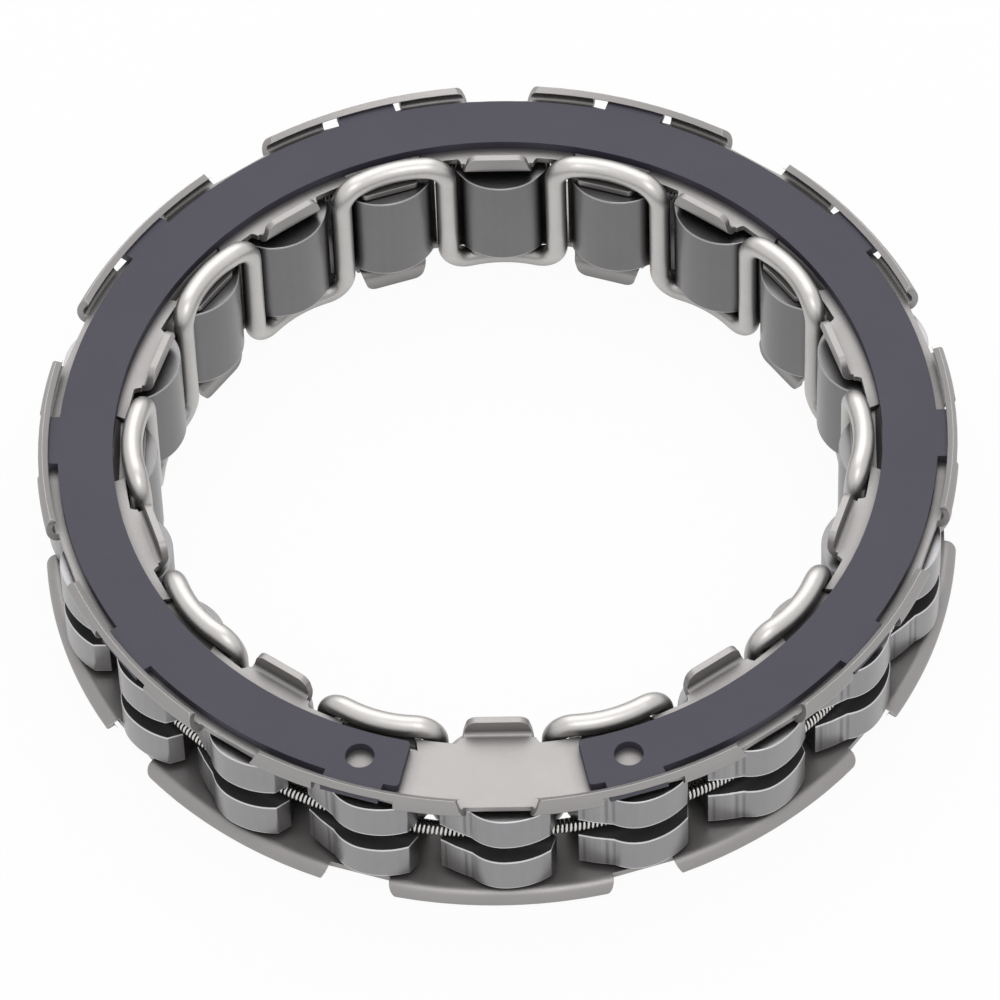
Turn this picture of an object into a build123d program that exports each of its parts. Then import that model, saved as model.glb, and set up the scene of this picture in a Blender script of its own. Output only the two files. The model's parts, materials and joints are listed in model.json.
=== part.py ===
from build123d import *
import os
from math import asin, cos, degrees, pi, radians, sin, sqrt, tan

# Sprag clutch insert: two pressed side plates, a meander wire that clips them
# together, a retaining snap ring, a garter spring and twenty loose sprags.
# Millimetres. The clutch axis is Z and the origin is its middle. The snap ring
# is on the +Z side, with its gap at -Y. Angles are counted from +Y,
# counter-clockwise seen from above.

# Races and layout
inner_race_diameter = 49.72
race_gap = 8.33              # between the two races, the same for every diameter of insert
free_preload = 0.05          # how far a standing sprag overlaps each race
least_spacing = 9.0          # between sprags, on the circle of their inner cams' centres

# Sprag
sprag_length = 8.1
inner_cam_radius = 3.97
inner_cam_trim = 0.47        # the inner cam ends this far short of its full half width
outer_cam_radius = 5.5
outer_cam_lead = 0.6         # crest of the outer cam ahead of the pitch line
lobe_back_radius = 3.3       # tighter rounding on the trailing side of the lobe
lobe_back_reach = 1.7        # trailing end of the lobe, behind the pitch line
lobe_front_reach = 4.75      # leading corner of the lobe, ahead of the pitch line
shoulder_half = 4.0          # trailing side of the sprag, behind the pitch line
shoulder_crease = 2.9        # crease between the two shoulder facets
shoulder_crease_drop = 1.5   # below the crest
shoulder_end_drop = 2.15     # below the crest
waist_half = 3.35            # narrowest half width, between the two cams
waist_rise = 0.6             # of the narrowest point, above the centre of the inner cam
groove_floor_height = 1.5    # above the centre of the inner cam
groove_floor_radius = 6.0    # convex, so that the sprag can rock under the spring

# Garter spring
spring_coil_diameter = 1.1
spring_floor_gap = 0.2       # between the spring and the groove floors
spring_side_gap = 0.325      # between the spring and each side of a groove

# Meander wire
wire_diameter = 1.6
wire_race_clearance = 0.54   # between the wire's legs and the inner race
wire_bend_radius = 1.6
wire_bow_angle = 15          # direction of a run where it leaves its bend

# Side plates
sheet = 0.5
sprag_end_play = 0.5         # at each end of a sprag
plate_turn = 0.5             # degrees that the plates sit turned, in their play round the wire
rim_proud = 0.36             # of the outer race, at the widest point of the bent rims
rim_bend_radius = 0.35       # inside of the bend
rim_lean = 35                # degrees that the rims lean in towards the axis
rim_bridge = 0.45            # height of a rim left over its window
rim_gap_root = 4.5           # open width between two rims at the flange
rim_gap_tip = 5.7            # the same at the rims' edge
rim_corner = 0.45            # rounding of the rims' corners
tongue_setback = 0.95        # of the flange between two rims, from their widest point
flange_wire_clearance = 0.18 # between the flange's inner edge and the wire's legs
tab_race_clearance = 0.84    # between the inner tabs and the inner race
tab_bend_radius = 0.35
tab_height = 1.85            # from the sprag side of the flange
tab_root_width = 5.4
tab_tip_width = 4.2
tab_corner = 0.8
tab_flare_width = 7.2        # width of a tab's root where it leaves the flange
seat_drop = 0.4              # of the pads under the wire's runs, from the flange towards the sprags
seat_reach = 0.5             # of a pad's straight end, inside the legs' circle
seat_width = 4.1
seat_root_width = 6.2
seat_corner = 0.4
seat_ramp_length = 0.45      # of the slope from a pad up to the flange
seat_run_clearance = 0.1     # between the foot of that slope and the wire's run

# Snap ring
ring_thickness = 0.75
ring_wire_clearance = 0.57   # between the ring and the runs of the wire
ring_rim_clearance = 1.05    # between the ring and the inside of the rims
ring_gap_half_angle = 12.2
ring_end_corner = 0.3
ring_hole_diameter = 2.1
ring_hole_from_end = 3.25
ring_hole_outset = 0.1       # of the plier holes, from the middle of the ring's width
lug_setback = 0.35           # of the lugs' ends, inside the rims' widest point
lug_width = 4.3
lug_side_clearance = 0.9     # in the rim window, each side
lug_top_clearance = 0.05
window_ring_clearance = 0.6  # between the ring and the window's cut into the flange

# Radii worked out from the sizes above
inner_race_radius = inner_race_diameter / 2
outer_race_radius = inner_race_radius + race_gap
inner_crest = inner_race_radius - free_preload
outer_crest = outer_race_radius + free_preload
cam_centre = inner_crest + inner_cam_radius
groove_floor = cam_centre + groove_floor_height
spring_radius = groove_floor + spring_floor_gap + spring_coil_diameter / 2

# Twenty sprags: as many as fit, and a multiple of four so that the ring's gap faces no lug
sprag_count = 4 * int(2 * pi * cam_centre / (4 * least_spacing))
pitch = 360 / sprag_count
plate_count = sprag_count // 2

# Circles of the wire: its legs, and the crest of its bowed runs
wire_leg_radius = inner_race_radius + wire_race_clearance + wire_diameter / 2
wire_leg_x = wire_leg_radius * sin(radians(pitch / 2))
wire_leg_y = wire_leg_radius * cos(radians(pitch / 2))
wire_bow_x = wire_leg_x - wire_bend_radius * cos(radians(wire_bow_angle))
wire_bow_y = wire_leg_y + wire_bend_radius * sin(radians(wire_bow_angle))
wire_run_radius = wire_bow_x / sin(radians(wire_bow_angle))
wire_run_centre = wire_bow_y - wire_run_radius * cos(radians(wire_bow_angle))
wire_crest = wire_run_centre + wire_run_radius

# Rings and edges of the plates and the snap ring
rim_outer_radius = outer_race_radius + rim_proud
tongue_reach = rim_outer_radius - tongue_setback
tab_face_radius = inner_race_radius + tab_race_clearance
flange_inner_radius = wire_leg_radius + wire_diameter / 2 + flange_wire_clearance
seat_foot_radius = wire_crest + wire_diameter / 2 + seat_run_clearance
seat_root_radius = seat_foot_radius + seat_ramp_length
ring_outer_radius = rim_outer_radius - sheet - ring_rim_clearance
ring_inner_radius = wire_crest + wire_diameter / 2 + ring_wire_clearance
ring_hole_radius = (ring_inner_radius + ring_outer_radius) / 2 + ring_hole_outset
ring_hole_angle = ring_gap_half_angle + degrees(asin(ring_hole_from_end / ring_hole_radius))
lug_reach = rim_outer_radius - lug_setback
window_depth = ring_outer_radius + window_ring_clearance

# Heights
flange_low = sprag_length / 2 + sprag_end_play
flange_top = flange_low + sheet
ring_top = flange_top + ring_thickness
window_top = ring_top + lug_top_clearance
rim_top = window_top + rim_bridge
tab_top = flange_low + tab_height


def around(shape, first, count, step):
    """Copies of a shape made at +Y, turned about the clutch axis."""
    return [Rot(0, 0, first + index * step) * shape for index in range(count)]


def sprag_profile():
    """Outline at +Y, seen from above. The leading side is at -X."""
    crest = (-outer_cam_lead, outer_crest)
    lead_rise = sqrt(outer_cam_radius ** 2 - (lobe_front_reach - outer_cam_lead) ** 2)
    lead_corner = (-lobe_front_reach, outer_crest - outer_cam_radius + lead_rise)
    half_turn = asin((lobe_front_reach - outer_cam_lead) / outer_cam_radius) / 2
    lead_middle = (
        -outer_cam_lead - outer_cam_radius * sin(half_turn),
        outer_crest - outer_cam_radius * (1 - cos(half_turn)),
    )
    back_turn = asin((lobe_back_reach + outer_cam_lead) / lobe_back_radius)
    back_end = (lobe_back_reach, outer_crest - lobe_back_radius * (1 - cos(back_turn)))
    back_middle = (
        -outer_cam_lead + lobe_back_radius * sin(back_turn / 2),
        outer_crest - lobe_back_radius * (1 - cos(back_turn / 2)),
    )
    crease = (shoulder_crease, outer_crest - shoulder_crease_drop)
    shoulder = (shoulder_half, outer_crest - shoulder_end_drop)
    inner_cam_half = inner_cam_radius - inner_cam_trim
    cam_end = cam_centre - sqrt(inner_cam_radius ** 2 - inner_cam_half ** 2)
    waist = cam_centre + waist_rise
    outline = [
        ThreePointArc((-inner_cam_half, cam_end), (0, inner_crest), (inner_cam_half, cam_end)),
        ThreePointArc((inner_cam_half, cam_end), (waist_half, waist), shoulder),
        Line(shoulder, crease),
        Line(crease, back_end),
        ThreePointArc(back_end, back_middle, crest),
        ThreePointArc(crest, lead_middle, lead_corner),
        ThreePointArc(lead_corner, (-waist_half, waist), (-inner_cam_half, cam_end)),
    ]
    return make_face(outline)


def sprag():
    """One sprag, standing at +Y as the garter spring holds it."""
    body = extrude(sprag_profile(), sprag_length / 2, both=True)
    floor_centre = groove_floor - groove_floor_radius
    above_floor = Pos(0, outer_crest) * Rectangle(4 * shoulder_half, 4 * shoulder_half)
    above_floor -= Pos(0, floor_centre) * Circle(groove_floor_radius)
    above_floor -= Pos(0, floor_centre - shoulder_half) * Rectangle(4 * shoulder_half, 2 * shoulder_half)
    return body - extrude(above_floor, spring_coil_diameter / 2 + spring_side_gap, both=True)


def rim_band():
    """Flange with its bent rim, turned as one dished ring before the gaps are cut."""
    outer_bend = rim_bend_radius + sheet
    bend_r = rim_outer_radius - outer_bend
    bend_z = flange_low + outer_bend
    lean = radians(rim_lean)
    mid_turn = (lean - radians(90)) / 2
    normal = (cos(lean), sin(lean))
    outer_end = (bend_r + outer_bend * normal[0], bend_z + outer_bend * normal[1])
    inner_end = (bend_r + rim_bend_radius * normal[0], bend_z + rim_bend_radius * normal[1])
    wall = (rim_top - outer_end[1]) / cos(lean)
    rise = (-wall * sin(lean), wall * cos(lean))
    outer_tip = (outer_end[0] + rise[0], outer_end[1] + rise[1])
    inner_tip = (inner_end[0] + rise[0], inner_end[1] + rise[1])
    outer_middle = (bend_r + outer_bend * cos(mid_turn), bend_z + outer_bend * sin(mid_turn))
    inner_middle = (bend_r + rim_bend_radius * cos(mid_turn), bend_z + rim_bend_radius * sin(mid_turn))
    outline = [
        Line((flange_inner_radius, flange_low), (bend_r, flange_low)),
        ThreePointArc((bend_r, flange_low), outer_middle, outer_end),
        Line(outer_end, outer_tip),
        Line(outer_tip, inner_tip),
        Line(inner_tip, inner_end),
        ThreePointArc(inner_end, inner_middle, (bend_r, flange_top)),
        Line((bend_r, flange_top), (flange_inner_radius, flange_top)),
        Line((flange_inner_radius, flange_top), (flange_inner_radius, flange_low)),
    ]
    return revolve(Plane.XZ * make_face(outline), Axis.Z)


def rim_gap():
    """Cutter between two rims at +Y: slanted sides, flared where the rims' corners round off."""
    root = rim_gap_root / 2
    tip = rim_gap_tip / 2
    low = flange_low - sheet
    shoulder_z = rim_top - rim_corner
    slope = (tip - root) / (shoulder_z - flange_low)
    foot = root - slope * sheet
    side = [
        Line((foot, low), (tip, shoulder_z)),
        ThreePointArc(
            (tip, shoulder_z),
            (tip + rim_corner * (1 - cos(radians(45))), shoulder_z + rim_corner * sin(radians(45))),
            (tip + rim_corner, rim_top),
        ),
        Line((tip + rim_corner, rim_top), (tip + rim_corner, rim_top + sheet)),
    ]
    other = [mirror(edge, Plane.YZ) for edge in side]
    outline = side + other
    outline.append(Line((-foot, low), (foot, low)))
    outline.append(Line((-tip - rim_corner, rim_top + sheet), (tip + rim_corner, rim_top + sheet)))
    reach = rim_outer_radius - tongue_reach + sheet
    return Pos(0, tongue_reach, 0) * extrude(Plane.XZ * make_face(outline), -reach)


def lug_window():
    """Slot through the bend of a rim at +Y for a lug of the snap ring."""
    width = lug_width + 2 * lug_side_clearance
    height = window_top - flange_low + sheet
    depth = rim_outer_radius - window_depth + sheet
    slot = Box(width, depth, height, align=(Align.CENTER, Align.MIN, Align.MIN))
    return Pos(0, window_depth, flange_low - sheet) * slot


def inner_tab():
    """Inner tab at +Y: a flared root in the flange's plane, then bent up."""
    outer_bend = tab_bend_radius + sheet
    face = tab_face_radius
    bend_r = face + outer_bend
    bend_z = flange_low + outer_bend
    diagonal = sin(radians(45))
    strip = [
        Line((bend_r, flange_low), (bend_r, flange_top)),
        ThreePointArc(
            (bend_r, flange_top),
            (bend_r - tab_bend_radius * diagonal, bend_z - tab_bend_radius * diagonal),
            (face + sheet, bend_z),
        ),
        Line((face + sheet, bend_z), (face + sheet, tab_top)),
        Line((face + sheet, tab_top), (face, tab_top)),
        Line((face, tab_top), (face, bend_z)),
        ThreePointArc(
            (face, bend_z),
            (bend_r - outer_bend * diagonal, bend_z - outer_bend * diagonal),
            (bend_r, flange_low),
        ),
    ]
    bent = extrude(Plane.YZ * make_face(strip), tab_root_width, both=True)
    front = make_face(Polyline(
        (-tab_root_width / 2, flange_low - sheet),
        (tab_root_width / 2, flange_low - sheet),
        (tab_tip_width / 2, tab_top),
        (-tab_tip_width / 2, tab_top),
        close=True,
    ))
    upper_corners = front.vertices().group_by(Axis.Y)[-1]
    front = fillet(upper_corners, tab_corner)
    bent &= Pos(0, face - sheet, 0) * extrude(Plane.XZ * front, -4 * outer_bend)
    half_root = tab_root_width / 2
    half_flare = tab_flare_width / 2
    flare = flange_inner_radius - bend_r
    diagonal_in = 1 - diagonal
    root = make_face([
        Line((-half_root, bend_r), (half_root, bend_r)),
        ThreePointArc(
            (half_root, bend_r),
            (half_root + (half_flare - half_root) * diagonal_in, bend_r + flare * diagonal),
            (half_flare, flange_inner_radius),
        ),
        Line((half_flare, flange_inner_radius), (half_flare, flange_inner_radius + sheet)),
        Line((half_flare, flange_inner_radius + sheet), (-half_flare, flange_inner_radius + sheet)),
        Line((-half_flare, flange_inner_radius + sheet), (-half_flare, flange_inner_radius)),
        ThreePointArc(
            (-half_flare, flange_inner_radius),
            (-half_root - (half_flare - half_root) * diagonal_in, bend_r + flare * diagonal),
            (-half_root, bend_r),
        ),
    ])
    return bent + Pos(0, 0, flange_low) * extrude(root, sheet)


def seat_outline(outer_radius):
    """A pad for the wire at +Y, seen from above, with its root at the given radius."""
    end = wire_leg_radius - seat_reach
    pad = make_face(Polyline(
        (-seat_width / 2, end),
        (seat_width / 2, end),
        (seat_root_width / 2, outer_radius),
        (-seat_root_width / 2, outer_radius),
        close=True,
    ))
    return fillet(pad.vertices().group_by(Axis.Y)[0], seat_corner)


def wire_seat():
    """Pad at +Y that a run of the wire lies on, pressed towards the sprags from the flange."""
    inside = wire_leg_radius - 2 * seat_reach
    section = make_face(Polyline(
        (inside, flange_low - seat_drop),
        (seat_foot_radius, flange_low - seat_drop),
        (seat_root_radius, flange_low),
        (seat_root_radius + sheet, flange_low),
        (seat_root_radius + sheet, flange_top),
        (seat_root_radius, flange_top),
        (seat_foot_radius, flange_top - seat_drop),
        (inside, flange_top - seat_drop),
        close=True,
    ))
    bent = extrude(Plane.YZ * section, seat_root_width, both=True)
    plan = extrude(seat_outline(seat_root_radius + sheet / 2), flange_top + seat_drop)
    return bent & plan


def side_plate(windows):
    """Side plate lying as the upper one: inner tabs at every second sprag, rims at the others."""
    plate = rim_band()
    step = 2 * pitch
    plate -= around(rim_gap(), 0, plate_count, step)
    if windows:
        plate -= around(lug_window(), pitch, plate_count, step)
    recess = extrude(seat_outline(seat_root_radius), flange_top + sheet)
    plate -= around(recess, pitch, plate_count, step)
    plate += around(inner_tab(), 0, plate_count, step)
    plate += around(wire_seat(), pitch, plate_count, step)
    return plate


def snap_ring():
    """Flat open ring on the upper plate, with a lug in every rim window."""
    blank = Circle(ring_outer_radius) - Circle(ring_inner_radius)
    far = 2 * ring_outer_radius
    spread = far * tan(radians(ring_gap_half_angle))
    blank -= make_face(Polyline((0, 0), (spread, -far), (-spread, -far), close=True))
    blank = fillet(blank.vertices(), ring_end_corner)
    lug_root = ring_outer_radius - ring_end_corner
    lug = Pos(0, lug_root) * Rectangle(
        lug_width, lug_reach - lug_root, align=(Align.CENTER, Align.MIN)
    )
    blank += around(lug, pitch, plate_count, 2 * pitch)
    for side in (-1, 1):
        turn = Rot(0, 0, 180 + side * ring_hole_angle)
        blank -= turn * Pos(0, ring_hole_radius) * Circle(ring_hole_diameter / 2)
    return Pos(0, 0, flange_top) * extrude(blank, ring_thickness)


def half_run(height, side):
    """Half a run of the wire at +Y with the bend down to its leg, and the leg's upper end."""
    section = Circle(wire_diameter / 2)
    run_start = Plane(origin=(0, wire_crest, height), z_dir=(side, 0, 0))
    run_axis = Axis((0, wire_run_centre, height), (0, 0, -side))
    run = revolve(run_start * section, run_axis, wire_bow_angle)
    leg_end = Vector(side * wire_leg_x, wire_leg_y, height - wire_bend_radius)
    bow = radians(wire_bow_angle)
    bend_axis = Axis(
        (side * wire_bow_x, wire_bow_y, height - wire_bend_radius), (side * sin(bow), cos(bow), 0)
    )
    bend = revolve(Plane(origin=leg_end) * section, bend_axis, -side * 90)
    return run, bend, leg_end


def meander_wire():
    """Round wire: over the upper plate at one sprag, under the lower plate at the next."""
    run_height = flange_top - seat_drop + wire_diameter / 2
    pieces = []
    for side in (-1, 1):
        run, bend, leg_end = half_run(run_height, side)
        leg = extrude(Plane(origin=leg_end) * Circle(wire_diameter / 2), -2 * leg_end.Z)
        pieces += [run, bend, leg]
        for piece in (run, bend):
            under = mirror(mirror(piece, Plane.XY), Plane.YZ)
            pieces.append(Rot(0, 0, -side * pitch) * under)
    loops = []
    for piece in pieces:
        loops += around(piece, pitch, plate_count, 2 * pitch)
    return loops[0].fuse(*loops[1:])


def garter_spring():
    """Envelope of the closed coil spring that runs through the sprags' grooves."""
    section = Plane.XZ * (Pos(spring_radius, 0) * Circle(spring_coil_diameter / 2))
    return revolve(section, Axis.Z)


os.makedirs("parts", exist_ok=True)

upper_plate = Rot(0, 0, plate_turn) * side_plate(windows=True)
lower_plate = Rot(0, 0, pitch + plate_turn) * Rot(0, 180, 0) * side_plate(windows=False)
export_step(upper_plate, "parts/upper_side_plate.step")
export_step(lower_plate, "parts/lower_side_plate.step")
export_step(snap_ring(), "parts/snap_ring.step")
export_step(meander_wire(), "parts/meander_wire.step")
export_step(garter_spring(), "parts/garter_spring.step")

single_sprag = sprag()
for index, placed in enumerate(around(single_sprag, 0, sprag_count, pitch), start=1):
    export_step(placed, f"parts/sprag_{index:02d}.step")
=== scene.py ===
import json
import math

import bmesh
import bpy
import numpy as np
from mathutils import Matrix, Vector


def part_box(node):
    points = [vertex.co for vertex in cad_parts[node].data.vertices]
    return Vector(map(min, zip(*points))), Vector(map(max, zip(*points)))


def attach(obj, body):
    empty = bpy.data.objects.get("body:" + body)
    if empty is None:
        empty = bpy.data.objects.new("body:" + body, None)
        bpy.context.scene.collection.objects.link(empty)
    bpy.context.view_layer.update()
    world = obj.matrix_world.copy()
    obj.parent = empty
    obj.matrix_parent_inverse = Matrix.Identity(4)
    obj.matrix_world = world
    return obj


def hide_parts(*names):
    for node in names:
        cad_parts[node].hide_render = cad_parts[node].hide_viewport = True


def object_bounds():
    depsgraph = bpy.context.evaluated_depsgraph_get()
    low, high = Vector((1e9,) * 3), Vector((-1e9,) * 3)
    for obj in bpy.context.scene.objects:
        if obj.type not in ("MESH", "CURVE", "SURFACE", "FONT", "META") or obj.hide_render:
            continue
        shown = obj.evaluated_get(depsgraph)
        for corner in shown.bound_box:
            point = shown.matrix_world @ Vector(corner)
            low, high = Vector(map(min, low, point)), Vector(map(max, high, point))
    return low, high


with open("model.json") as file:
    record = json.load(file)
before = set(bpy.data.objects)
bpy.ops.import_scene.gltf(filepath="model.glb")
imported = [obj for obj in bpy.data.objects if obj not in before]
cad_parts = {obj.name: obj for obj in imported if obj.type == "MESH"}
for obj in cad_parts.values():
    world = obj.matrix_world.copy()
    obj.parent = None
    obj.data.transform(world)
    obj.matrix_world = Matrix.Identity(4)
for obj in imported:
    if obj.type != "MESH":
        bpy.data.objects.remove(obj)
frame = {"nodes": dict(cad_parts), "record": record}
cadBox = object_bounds()
nodes = frame["nodes"]
mm = 0.001


# Camera: a long lens looking down on the gap in the snap ring
camera = {
    "lens": 299.3,            # mm
    "sensorWidth": 36.0,      # mm
    "nearLimit": 0.05,
    "farLimit": 20.0,
    "distance": 604.4 * mm,
    "elevation": 52.25,       # degrees above the floor
    "azimuth": 2.16,
    "roll": -2.20,
    "aimRight": 0.195 * mm,   # from the middle of the snap ring's upper face, in the image plane
    "aimUp": -4.63 * mm,
    "aimHeight": 5.8 * mm,
}


def makeCamera(c):
    el, az, roll = (math.radians(c[k]) for k in ("elevation", "azimuth", "roll"))
    back = Vector((math.sin(az) * math.cos(el), -math.cos(az) * math.cos(el), math.sin(el)))
    right = Vector((math.cos(az), math.sin(az), 0))
    up = back.cross(right)
    turnedRight = right * math.cos(roll) + up * math.sin(roll)
    turnedUp = up * math.cos(roll) - right * math.sin(roll)
    data = bpy.data.cameras.new("camera")
    data.lens = c["lens"]
    data.sensor_width = c["sensorWidth"]
    data.clip_start = c["nearLimit"]
    data.clip_end = c["farLimit"]
    view = bpy.data.objects.new("camera", data)
    place = Vector((0, 0, c["aimHeight"])) + back * c["distance"]
    place += turnedRight * c["aimRight"] + turnedUp * c["aimUp"]
    turn = Matrix((turnedRight, turnedUp, back)).transposed()
    view.matrix_world = Matrix.Translation(place) @ turn.to_4x4()
    bpy.context.scene.collection.objects.link(view)
    bpy.context.scene.camera = view


makeCamera(camera)
bpy.context.scene.view_settings.view_transform = "Standard"
print("camera placed")


# Node trees: small helpers that place nodes and wire them up
def addNode(tree, kind, at=(0, 0), **values):
    node = tree.nodes.new(kind)
    node.location = at
    for name, value in values.items():
        if hasattr(node, name):
            setattr(node, name, value)
        else:
            node.inputs[name].default_value = value
    return node


def joinNodes(tree, *pairs):
    for start, end in pairs:
        tree.links.new(start, end)


def feed(tree, socket, term):
    # a term is a number or another node's output
    if isinstance(term, bpy.types.NodeSocket):
        tree.links.new(term, socket)
    else:
        socket.default_value = term


def mathNode(tree, operation, at, *terms, clamp=False):
    node = addNode(tree, "ShaderNodeMath", at, operation=operation, use_clamp=clamp)
    for socket, term in zip(node.inputs, terms):
        feed(tree, socket, term)
    return node.outputs[0]


def rampNode(tree, at, value, start, stop, low, high):
    # low below start, high above stop, even between them
    node = addNode(tree, "ShaderNodeMapRange", at)
    titles = ("Value", "From Min", "From Max", "To Min", "To Max")
    for title, term in zip(titles, (value, start, stop, low, high)):
        feed(tree, node.inputs[title], term)
    return node.outputs[0]


# Studio: a white floor, a wide soft box behind and a smaller one over the camera
studio = {
    "floorSize": 3.0,
    "floorColour": (0.88, 0.88, 0.88, 1),
    "floorGlow": 0.95,        # how much of the floor's white is its own, the rest takes shadow
    "worldLight": 0.62,       # on matt surfaces, seen directly and in metal it is white
    "rearPower": 1.75,
    "rearSize": 0.65,
    "rearPlace": (-0.02, 0.42, 0.56),
    "frontPower": 1.8,
    "frontSize": 0.50,
    "frontPlace": (0.10, -0.42, 0.86),
}


def whiteRays(tree):
    # 1 where the camera, a reflection or glass looks, 0 where matt surfaces gather light
    path = addNode(tree, "ShaderNodeLightPath", (-900, 200))
    rays = path.outputs
    direct = mathNode(tree, "MAXIMUM", (-700, 200), rays["Is Camera Ray"], rays["Is Glossy Ray"])
    return mathNode(tree, "MAXIMUM", (-500, 200), direct, rays["Is Transmission Ray"])


def makeFloor(s, height):
    half = s["floorSize"] / 2
    mesh = bpy.data.meshes.new("floor")
    corners = [(-half, -half, height), (half, -half, height), (half, half, height), (-half, half, height)]
    mesh.from_pydata(corners, [], [(0, 1, 2, 3)])
    floor = bpy.data.objects.new("floor", mesh)
    bpy.context.scene.collection.objects.link(floor)
    material = bpy.data.materials.new("floorWhite")
    material.use_nodes = True
    tree = material.node_tree
    tree.nodes.clear()
    diffuse = addNode(tree, "ShaderNodeBsdfDiffuse", (0, 0), Color=s["floorColour"])
    glow = addNode(tree, "ShaderNodeEmission", (0, -150), Color=(1, 1, 1, 1), Strength=1.0)
    share = mathNode(tree, "MULTIPLY", (-200, 200), whiteRays(tree), s["floorGlow"])
    mix = addNode(tree, "ShaderNodeMixShader", (200, 0))
    out = addNode(tree, "ShaderNodeOutputMaterial", (400, 0))
    joinNodes(
        tree,
        (share, mix.inputs[0]),
        (diffuse.outputs[0], mix.inputs[1]),
        (glow.outputs[0], mix.inputs[2]),
        (mix.outputs[0], out.inputs["Surface"]),
    )
    mesh.materials.append(material)


def makeWorld(s):
    world = bpy.data.worlds.new("studioWorld")
    bpy.context.scene.world = world
    world.use_nodes = True
    tree = world.node_tree
    tree.nodes.clear()
    strength = rampNode(tree, (-300, 0), whiteRays(tree), 0.0, 1.0, s["worldLight"], 1.0)
    back = addNode(tree, "ShaderNodeBackground", (0, 0), Color=(1, 1, 1, 1))
    out = addNode(tree, "ShaderNodeOutputWorld", (200, 0))
    joinNodes(tree, (strength, back.inputs["Strength"]), (back.outputs[0], out.inputs["Surface"]))


def makeLamp(name, place, size, power):
    data = bpy.data.lights.new(name, "AREA")
    data.shape = "SQUARE"
    data.size = size
    data.energy = power
    lamp = bpy.data.objects.new(name, data)
    lamp.location = place
    lamp.rotation_mode = "QUATERNION"
    lamp.rotation_quaternion = Vector(place).to_track_quat("Z", "Y")
    bpy.context.scene.collection.objects.link(lamp)


makeFloor(studio, cadBox[0].z)
makeWorld(studio)
makeLamp("rearBox", studio["rearPlace"], studio["rearSize"], studio["rearPower"])
makeLamp("frontBox", studio["frontPlace"], studio["frontSize"], studio["frontPower"])
print("studio ready")


# Shader groups that several finishes share
def newGroup(name, inputs, outputs):
    tree = bpy.data.node_groups.new(name, "ShaderNodeTree")
    for title, kind, value in inputs:
        socket = tree.interface.new_socket(title, in_out="INPUT", socket_type="NodeSocket" + kind)
        if value is not None:
            socket.default_value = value
    for title, kind in outputs:
        tree.interface.new_socket(title, in_out="OUTPUT", socket_type="NodeSocket" + kind)
    start = addNode(tree, "NodeGroupInput", (-900, 0))
    end = addNode(tree, "NodeGroupOutput", (900, 0))
    return tree, start, end


def makeTumbledGrain():
    tree, start, end = newGroup(
        "tumbledGrain",
        [("Vector", "Vector", None), ("Scale", "Float", 9000.0), ("Blotch Scale", "Float", 260.0)],
        [("Grain", "Float"), ("Blotch", "Float")],
    )
    grain = addNode(tree, "ShaderNodeTexNoise", (-500, 200), Detail=3.0, Roughness=0.65)
    blotch = addNode(tree, "ShaderNodeTexNoise", (-500, -200), Detail=4.0, Roughness=0.55)
    joinNodes(
        tree,
        (start.outputs["Vector"], grain.inputs["Vector"]),
        (start.outputs["Scale"], grain.inputs["Scale"]),
        (start.outputs["Vector"], blotch.inputs["Vector"]),
        (start.outputs["Blotch Scale"], blotch.inputs["Scale"]),
        (grain.outputs[0], end.inputs["Grain"]),
        (blotch.outputs[0], end.inputs["Blotch"]),
    )
    return tree


def makeEdgeRoundAndHighlight():
    # rounds sharp edges for the light, and marks them for a painted highlight: 0 on a flat face, up to 1 at
    # an edge
    tree, start, end = newGroup(
        "edgeRoundAndHighlight",
        [("Radius", "Float", 0.0001), ("Contrast", "Float", 6.0)],
        [("Normal", "Vector"), ("Edge", "Float")],
    )
    bevel = addNode(tree, "ShaderNodeBevel", (-600, 0), samples=8)
    shape = addNode(tree, "ShaderNodeNewGeometry", (-600, -250))
    dot = addNode(tree, "ShaderNodeVectorMath", (-350, -100), operation="DOT_PRODUCT")
    away = mathNode(tree, "SUBTRACT", (-150, -100), 1.0, dot.outputs["Value"], clamp=True)
    strong = mathNode(tree, "MULTIPLY", (50, -100), away, start.outputs["Contrast"], clamp=True)
    joinNodes(
        tree,
        (start.outputs["Radius"], bevel.inputs["Radius"]),
        (bevel.outputs[0], dot.inputs[0]),
        (shape.outputs["True Normal"], dot.inputs[1]),
        (bevel.outputs[0], end.inputs["Normal"]),
        (strong, end.inputs["Edge"]),
    )
    return tree


def makePaintedCreviceShade():
    # painted shade: darkens faces that lie close to others, where shadow falls
    tree, start, end = newGroup(
        "paintedCreviceShade", [("Distance", "Float", 0.001), ("Depth", "Float", 0.5)], [("Shade", "Float")]
    )
    near = addNode(tree, "ShaderNodeAmbientOcclusion", (-500, 0), samples=8)
    joinNodes(tree, (start.outputs["Distance"], near.inputs["Distance"]))
    closed = mathNode(tree, "SUBTRACT", (-300, 0), 1.0, near.outputs["AO"])
    dark = mathNode(tree, "MULTIPLY", (-100, 0), closed, start.outputs["Depth"])
    joinNodes(tree, (mathNode(tree, "SUBTRACT", (100, 0), 1.0, dark), end.inputs["Shade"]))
    return tree


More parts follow.
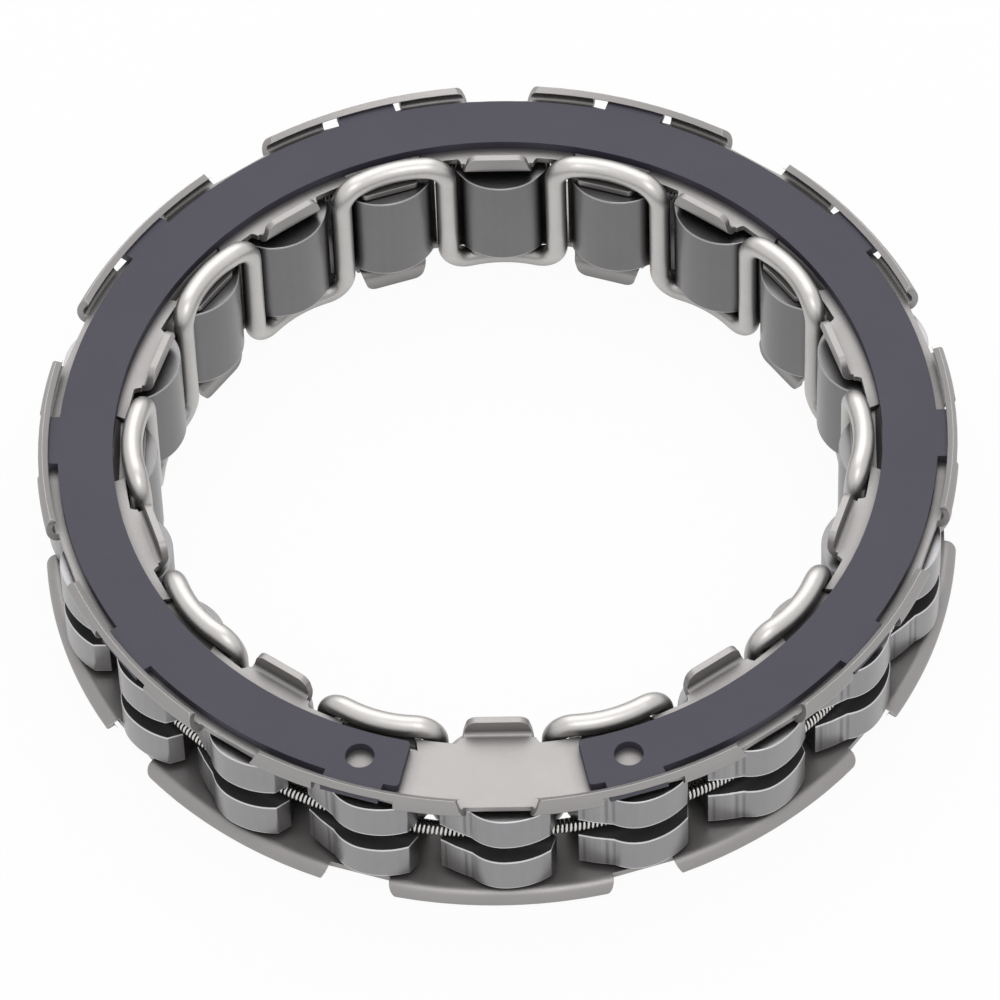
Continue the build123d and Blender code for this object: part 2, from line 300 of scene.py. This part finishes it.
def makeSpragZones(z):
    # painted shade and highlight, and metal, of each face of a sprag, by its height and its place in the
    # sprag's own outline
    tree, start, end = newGroup(
        "spragZones",
        [
            ("Vector", "Vector", None),
            ("Profile", "Vector", None),
            ("Inner Shade", "Float", 0.62),
            ("Groove Shade", "Float", 0.08),
            ("Groove Metal", "Float", 0.2),
            ("End Shade", "Float", 0.5),
            ("Edge Highlight", "Float", 2.3),
            ("Flank Shade", "Float", 0.5),
            ("Crease Shade", "Float", 0.7),
            ("Draw Lines", "Float", 0.9),
        ],
        [("Shade", "Float"), ("Metal", "Float")],
    )
    given = start.outputs
    place = addNode(tree, "ShaderNodeSeparateXYZ", (-1400, 200))
    profile = addNode(tree, "ShaderNodeSeparateXYZ", (-1400, -200))
    lines = addNode(tree, "ShaderNodeTexNoise", (-1100, -700), Scale=z["lineScale"], Detail=z["lineDetail"])
    joinNodes(
        tree,
        (given["Vector"], place.inputs[0]),
        (given["Profile"], profile.inputs[0]),
        (given["Profile"], lines.inputs["Vector"]),
    )
    height = mathNode(tree, "ABSOLUTE", (-1100, 200), place.outputs["Z"])
    along = profile.outputs["X"]
    side = mathNode(tree, "ABSOLUTE", (-1100, -200), along)
    reach = profile.outputs["Y"]
    edge = z["edge"]
    soft = z["softness"]
    top = z["halfLength"]
    wall = z["grooveHalf"]
    # masks: 1 on the half towards the outer race, 1 on the shoulder's two facets
    outer = rampNode(tree, (-800, 700), reach, z["camStart"], z["camStop"], 0.0, 1.0)
    raised = rampNode(tree, (-800, -500), reach, z["shoulderReach"] - soft, z["shoulderReach"], 0.0, 1.0)
    behind = rampNode(tree, (-600, -500), along, z["creases"][0] - soft, z["creases"][0], 0.0, 1.0)
    shoulder = mathNode(tree, "MULTIPLY", (-400, -500), raised, behind)
    # shades: 1 leaves the metal as it is; the inner cam's, groove's, flanks' and creases' shades are
    # painted shade, the edge bands a painted highlight
    cam = rampNode(tree, (-600, 700), outer, 0.0, 1.0, given["Inner Shade"], 1.0)
    grooveDark = rampNode(tree, (-800, 500), height, wall, wall + soft, given["Groove Shade"], 1.0)
    # painted highlight along the edges of the groove
    grooveEdgeHighlight = rampNode(tree, (-800, 400), height, wall + edge, wall + edge + soft, given["Edge Highlight"], 1.0)
    groove = mathNode(tree, "MULTIPLY", (-600, 450), grooveDark, grooveEdgeHighlight)
    groove = rampNode(tree, (-400, 450), outer, z["grooveFrom"], 1.0, 1.0, groove)
    grooveLessMetal = rampNode(tree, (-800, 600), height, wall, wall + soft, given["Groove Metal"], 1.0)
    metal = rampNode(tree, (-400, 600), outer, z["grooveFrom"], 1.0, 1.0, grooveLessMetal)
    # painted highlight along the edges of the sprag's ends
    endEdgeHighlight = rampNode(tree, (-800, 300), height, top - edge, top - edge + soft, 1.0, given["Edge Highlight"])
    ends = rampNode(tree, (-800, 100), height, top - soft, top, 1.0, given["End Shade"])
    flankRange = (z["flankStart"], z["flankStop"])
    aside = rampNode(tree, (-800, -100), side, *flankRange, 1.0, given["Flank Shade"])
    flank = mathNode(tree, "MAXIMUM", (-500, -200), aside, raised)
    # the painted shade lines at the creases fade towards the groove and stop below the shoulder
    faded = rampNode(tree, (-900, -420), height, wall, top, 0.0, z["creaseRise"])
    marked = mathNode(tree, "MULTIPLY", (-750, -420), raised, faded)
    unmarked = mathNode(tree, "SUBTRACT", (-600, -420), 1.0, marked, clamp=True)
    creases = []
    for crease in z["creases"]:
        offset = mathNode(tree, "SUBTRACT", (-1100, -350), along, crease)
        apart = mathNode(tree, "ABSOLUTE", (-900, -350), offset)
        line = rampNode(tree, (-600, -350), apart, edge / 2, edge, given["Crease Shade"], 1.0)
        creases.append(mathNode(tree, "MAXIMUM", (-400, -350), line, unmarked))
    # the noise swings about one half, so the drawn lines darken and lighten alike
    strength = rampNode(tree, (-600, -700), shoulder, 0.0, 1.0, z["camLines"], given["Draw Lines"])
    drawn = mathNode(tree, "SUBTRACT", (-800, -700), lines.outputs[0], z["lineMiddle"])
    drawn = mathNode(tree, "MULTIPLY_ADD", (-400, -700), drawn, strength, 1.0)
    shade = cam
    for step, zone in enumerate([groove, endEdgeHighlight, ends, flank, drawn] + creases):
        shade = mathNode(tree, "MULTIPLY", (-200 + 130 * step, 200), shade, zone)
    joinNodes(tree, (shade, end.inputs["Shade"]), (metal, end.inputs["Metal"]))
    return tree


spragZones = {
    "halfLength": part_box("sprag_01")[1].z,
    "grooveHalf": 0.875 * mm,
    "edge": 0.13 * mm,           # width of the rounded edges
    "softness": 0.026 * mm,      # over which one zone passes into the next
    "camStart": 28.6 * mm,       # from the axis: where the inner cam's shade starts to fade
    "camStop": 30.4 * mm,
    "grooveFrom": 0.5,           # of that fading, from where the groove darkens
    "flankStart": 3.0 * mm,      # from the pitch line: where the sides' shade starts
    "flankStop": 3.5 * mm,
    "shoulderReach": 31.0 * mm,  # from the axis: the shoulder's facets are further out
    "creases": (1.7 * mm, 2.15 * mm, 3.6 * mm),   # behind the pitch line: down the shoulder
    "creaseRise": 1.5,           # above 1, the creases are full before the sprag's end
    "lineScale": 1500.0,
    "lineDetail": 2.0,
    "lineMiddle": 0.5,
    "camLines": 0.12,            # strength of the drawn lines away from the shoulder
}
tumbledGrain = makeTumbledGrain()
edgeRoundAndHighlight = makeEdgeRoundAndHighlight()
paintedCreviceShade = makePaintedCreviceShade()
spragShade = makeSpragZones(spragZones)
print("shader groups ready")


def spragShading(tree):
    profile = addNode(tree, "ShaderNodeUVMap", (-1500, 500), uv_map="profile")
    place = addNode(tree, "ShaderNodeTexCoord", (-1500, 700))
    shade = addNode(tree, "ShaderNodeGroup", (-1200, 500), node_tree=spragShade)
    # the faces of the groove are less metallic than the rest, which with their painted shade keeps the
    # groove evenly dark
    joinNodes(
        tree,
        (place.outputs["Object"], shade.inputs["Vector"]),
        (profile.outputs[0], shade.inputs["Profile"]),
        (shade.outputs["Metal"], tree.nodes["Principled BSDF"].inputs["Metallic"]),
    )
    return shade.outputs["Shade"]


spring = {
    "coilDiameter": 1.1 * mm,
    "wireDiameter": 0.22 * mm,
    "turnSpacing": 0.315 * mm,
    "stepsPerTurn": 12,
    "sides": 6,
    "innerShade": 0.12,          # of the coils' side towards the axis
    "shadeStart": -0.1 * mm,     # from the middle of the coils, outwards
    "shadeStop": 0.3 * mm,
}
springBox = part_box("garter_spring")
springRadius = (springBox[1].x - springBox[0].x - spring["coilDiameter"]) / 2


def springShading(tree):
    # painted shade: the side of each coil towards the axis is darker
    place = addNode(tree, "ShaderNodeTexCoord", (-1700, 500))
    flat = addNode(tree, "ShaderNodeVectorMath", (-1500, 500), operation="MULTIPLY")
    flat.inputs[1].default_value = (1, 1, 0)
    radius = addNode(tree, "ShaderNodeVectorMath", (-1300, 500), operation="LENGTH")
    joinNodes(tree, (place.outputs["Object"], flat.inputs[0]), (flat.outputs[0], radius.inputs[0]))
    start = springRadius + spring["shadeStart"]
    stop = springRadius + spring["shadeStop"]
    return rampNode(tree, (-1100, 500), radius.outputs["Value"], start, stop, spring["innerShade"], 1.0)


grainRange = (0.3, 0.7)      # most of the grain's noise lies between these


def makeMetal(name, m, shading=None):
    # satin metal: two tones mixed by blotches, with painted shade in crevices and, with an edge tone, a
    # painted highlight at edges
    material = bpy.data.materials.new(name)
    material.use_nodes = True
    tree = material.node_tree
    shader = tree.nodes["Principled BSDF"]
    shader.inputs["Metallic"].default_value = m["metallic"]
    place = addNode(tree, "ShaderNodeTexCoord", (-1500, 0))
    grain = addNode(tree, "ShaderNodeGroup", (-1200, 0), node_tree=tumbledGrain)
    grain.inputs["Scale"].default_value = m["grainScale"]
    grain.inputs["Blotch Scale"].default_value = m["blotchScale"]
    edge = addNode(tree, "ShaderNodeGroup", (-1200, -300), node_tree=edgeRoundAndHighlight)
    edge.inputs["Radius"].default_value = m["edgeRadius"]
    tone = addNode(tree, "ShaderNodeMix", (-800, 200), data_type="RGBA")
    tone.inputs["A"].default_value = m["darkTone"]
    tone.inputs["B"].default_value = m["lightTone"]
    colour = tone.outputs["Result"]
    # painted highlight: the lighter edge tone is mixed in at edges
    if "edgeHighlightTone" in m:
        edge.inputs["Contrast"].default_value = m["edgeHighlightContrast"]
        edgeHighlighted = addNode(tree, "ShaderNodeMix", (-500, 200), data_type="RGBA")
        edgeHighlighted.inputs["B"].default_value = m["edgeHighlightTone"]
        joinNodes(tree, (colour, edgeHighlighted.inputs["A"]), (edge.outputs["Edge"], edgeHighlighted.inputs["Factor"]))
        colour = edgeHighlighted.outputs["Result"]
    # painted shade where faces lie close to others
    close = addNode(tree, "ShaderNodeGroup", (-500, 500), node_tree=paintedCreviceShade)
    close.inputs["Distance"].default_value = m["paintedShadeReach"]
    close.inputs["Depth"].default_value = m["paintedShadeDepth"]
    shade = close.outputs["Shade"]
    if shading:
        shade = mathNode(tree, "MULTIPLY", (-300, 500), shade, shading(tree))
    shaded = addNode(tree, "ShaderNodeMix", (-250, 300), data_type="RGBA", blend_type="MULTIPLY")
    shaded.inputs["Factor"].default_value = 1.0
    rough = rampNode(tree, (-800, -100), grain.outputs["Grain"], *grainRange, *m["roughness"])
    bump = addNode(tree, "ShaderNodeBump", (-500, -300))
    bump.inputs["Strength"].default_value = m["bump"]
    bump.inputs["Distance"].default_value = m["bumpDepth"]
    joinNodes(
        tree,
        (place.outputs["Object"], grain.inputs["Vector"]),
        (grain.outputs["Blotch"], tone.inputs["Factor"]),
        (rough, shader.inputs["Roughness"]),
        (grain.outputs["Grain"], bump.inputs["Height"]),
        (edge.outputs["Normal"], bump.inputs["Normal"]),
        (bump.outputs[0], shader.inputs["Normal"]),
        (colour, shaded.inputs["A"]),
        (shade, shaded.inputs["B"]),
        (shaded.outputs["Result"], shader.inputs["Base Color"]),
    )
    return material


plateFinish = {
    "metallic": 0.8,
    "darkTone": (0.315, 0.303, 0.297, 1),
    "lightTone": (0.355, 0.343, 0.337, 1),
    "edgeHighlightTone": (0.60, 0.59, 0.58, 1),
    "roughness": (0.38, 0.48),
    "grainScale": 9000.0,
    "blotchScale": 260.0,
    "bump": 0.08,
    "bumpDepth": 0.01 * mm,
    "edgeRadius": 0.08 * mm,
    "edgeHighlightContrast": 3.0,
    "paintedShadeReach": 1.2 * mm,
    "paintedShadeDepth": 0.75,
}
ringFinish = {
    "metallic": 0.0,
    "darkTone": (0.0435, 0.0405, 0.058, 1),
    "lightTone": (0.055, 0.051, 0.072, 1),
    "edgeHighlightTone": (0.13, 0.13, 0.14, 1),
    "roughness": (0.55, 0.68),
    "grainScale": 12000.0,
    "blotchScale": 180.0,
    "bump": 0.3,
    "bumpDepth": 0.01 * mm,
    "edgeRadius": 0.06 * mm,
    "edgeHighlightContrast": 2.0,
    "paintedShadeReach": 0.6 * mm,
    "paintedShadeDepth": 0.3,
}
spragFinish = {
    "metallic": 1.0,
    "darkTone": (0.265, 0.261, 0.267, 1),
    "lightTone": (0.305, 0.300, 0.307, 1),
    "roughness": (0.27, 0.34),
    "grainScale": 8000.0,
    "blotchScale": 300.0,
    "bump": 0.02,
    "bumpDepth": 0.01 * mm,
    "edgeRadius": 0.04 * mm,
    "paintedShadeReach": 0.8 * mm,
    "paintedShadeDepth": 0.5,
}
wireFinish = {
    "metallic": 1.0,
    "darkTone": (0.50, 0.485, 0.47, 1),
    "lightTone": (0.60, 0.585, 0.57, 1),
    "roughness": (0.37, 0.45),
    "grainScale": 7000.0,
    "blotchScale": 500.0,
    "bump": 0.05,
    "bumpDepth": 0.01 * mm,
    "edgeRadius": 0.02 * mm,
    "paintedShadeReach": 2.0 * mm,
    "paintedShadeDepth": 0.85,
}
springFinish = {
    "metallic": 1.0,
    "darkTone": (0.60, 0.59, 0.57, 1),
    "lightTone": (0.72, 0.71, 0.69, 1),
    "roughness": (0.22, 0.30),
    "grainScale": 9000.0,
    "blotchScale": 600.0,
    "bump": 0.1,
    "bumpDepth": 0.005 * mm,
    "edgeRadius": 0.01 * mm,
    "paintedShadeReach": 0.3 * mm,
    "paintedShadeDepth": 0.6,
}
finishes = {
    "plate_steel": makeMetal("plateSteel", plateFinish),
    "ring_phosphate": makeMetal("ringPhosphate", ringFinish),
    "sprag_steel": makeMetal("spragSteel", spragFinish, spragShading),
    "wire_steel": makeMetal("wireSteel", wireFinish),
    "spring_steel": makeMetal("springSteel", springFinish, springShading),
}
for part in frame["record"]["subparts"]:
    for materialSlot in nodes[part["node"]].material_slots:
        materialSlot.material = finishes[part["material_slot"]]
print("finishes assigned")


# Sprags: the CAD form with a facet across its leading corner and all its edges tumbled round
sprag = {
    "facetDepth": 0.55 * mm,
    "facetTurn": 72,            # degrees, from facing the outer race towards the leading side
    "edgeRound": 0.13 * mm,
    "roundSteps": 2,
    "sharpAngle": 28,           # degrees: sharper edges are rounded
    "flatAngle": 1,             # degrees: triangles flatter than this are joined
    "mergeDistance": 0.001 * mm,
}


def makeSpragForm(s):
    form = bmesh.new()
    form.from_mesh(nodes["sprag_01"].data)
    bmesh.ops.remove_doubles(form, verts=form.verts, dist=s["mergeDistance"])
    bmesh.ops.dissolve_limit(
        form, angle_limit=math.radians(s["flatAngle"]), verts=form.verts, edges=form.edges
    )
    corner = min((v.co.copy() for v in form.verts), key=lambda place: place.x)
    turn = math.radians(s["facetTurn"])
    facing = Vector((-math.sin(turn), math.cos(turn), 0))
    bmesh.ops.bisect_plane(
        form,
        geom=form.verts[:] + form.edges[:] + form.faces[:],
        dist=s["mergeDistance"],
        plane_co=corner - facing * s["facetDepth"],
        plane_no=facing,
        clear_outer=True,
    )
    bmesh.ops.holes_fill(form, edges=[e for e in form.edges if e.is_boundary])
    bmesh.ops.recalc_face_normals(form, faces=form.faces)
    return form


def makeSprag(name, form, turn, s):
    mesh = bpy.data.meshes.new(name)
    form.to_mesh(mesh)
    # the profile map holds each corner's place on the standing sprag, from above
    profile = mesh.uv_layers.new(name="profile")
    for loop in mesh.loops:
        profile.data[loop.index].uv = mesh.vertices[loop.vertex_index].co.xy
    mesh.transform(Matrix.Rotation(turn, 4, "Z"))
    mesh.shade_smooth()
    made = bpy.data.objects.new(name, mesh)
    bpy.context.scene.collection.objects.link(made)
    rounding = made.modifiers.new("tumbledEdges", "BEVEL")
    rounding.width = s["edgeRound"]
    rounding.segments = s["roundSteps"]
    rounding.limit_method = "ANGLE"
    rounding.angle_limit = math.radians(s["sharpAngle"])
    made.modifiers.new("evenShading", "WEIGHTED_NORMAL")
    return made


spragForm = makeSpragForm(sprag)
spragNodes = sorted(name for name in nodes if name.startswith("sprag_"))
for index, node in enumerate(spragNodes):
    piece = makeSprag(node + "_tumbled", spragForm, 2 * math.pi * index / len(spragNodes), sprag)
    piece.data.materials.append(finishes["sprag_steel"])
    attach(piece, node + "_body")
    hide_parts(node)
spragForm.free()
print("sprags made")


# Garter spring: a closed helix of fine round wire
def putMesh(name, points, faces):
    mesh = bpy.data.meshes.new(name)
    mesh.vertices.add(len(points))
    mesh.vertices.foreach_set("co", np.asarray(points, np.float32).ravel())
    mesh.loops.add(faces.size)
    mesh.loops.foreach_set("vertex_index", faces.astype(np.int32).ravel())
    mesh.polygons.add(len(faces))
    mesh.polygons.foreach_set("loop_start", np.arange(len(faces), dtype=np.int32) * faces.shape[1])
    mesh.polygons.foreach_set("use_smooth", np.ones(len(faces), bool))
    mesh.update(calc_edges=True)
    mesh.validate()
    made = bpy.data.objects.new(name, mesh)
    bpy.context.scene.collection.objects.link(made)
    return made


def makeSpring(s):
    turns = round(2 * math.pi * springRadius / s["turnSpacing"])
    coilRadius = (s["coilDiameter"] - s["wireDiameter"]) / 2
    steps = turns * s["stepsPerTurn"]
    # u runs round the clutch; the wire's centre circles the spring's own circle turns times
    u = np.linspace(0, 2 * np.pi, steps, endpoint=False)
    turn = u * turns
    outward = np.stack([np.cos(u), np.sin(u), 0 * u], 1)
    along = np.stack([-np.sin(u), np.cos(u), 0 * u], 1)
    upward = np.array([0, 0, 1.0])
    spoke = np.cos(turn)[:, None] * outward + np.sin(turn)[:, None] * upward
    centre = springRadius * outward + coilRadius * spoke
    # the wire's section is a circle of v, in the plane of the spoke and the clutch's own direction
    v = np.linspace(0, 2 * np.pi, s["sides"], endpoint=False)
    points = centre[:, None, :] + s["wireDiameter"] / 2 * (
        np.cos(v)[None, :, None] * spoke[:, None, :] + np.sin(v)[None, :, None] * along[:, None, :]
    )
    # each face joins two neighbours of one section to the same two of the next
    i, j = np.meshgrid(np.arange(steps), np.arange(s["sides"]), indexing="ij")
    jNext = (j + 1) % s["sides"]
    here = i * s["sides"]
    ahead = (i + 1) % steps * s["sides"]
    faces = np.stack([here + j, ahead + j, ahead + jNext, here + jNext], -1)
    return putMesh("garterSpringCoils", points.reshape(-1, 3), faces.reshape(-1, 4))


coils = makeSpring(spring)
coils.data.materials.append(finishes["spring_steel"])
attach(coils, "cage")
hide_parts("garter_spring")
print("garter spring made")
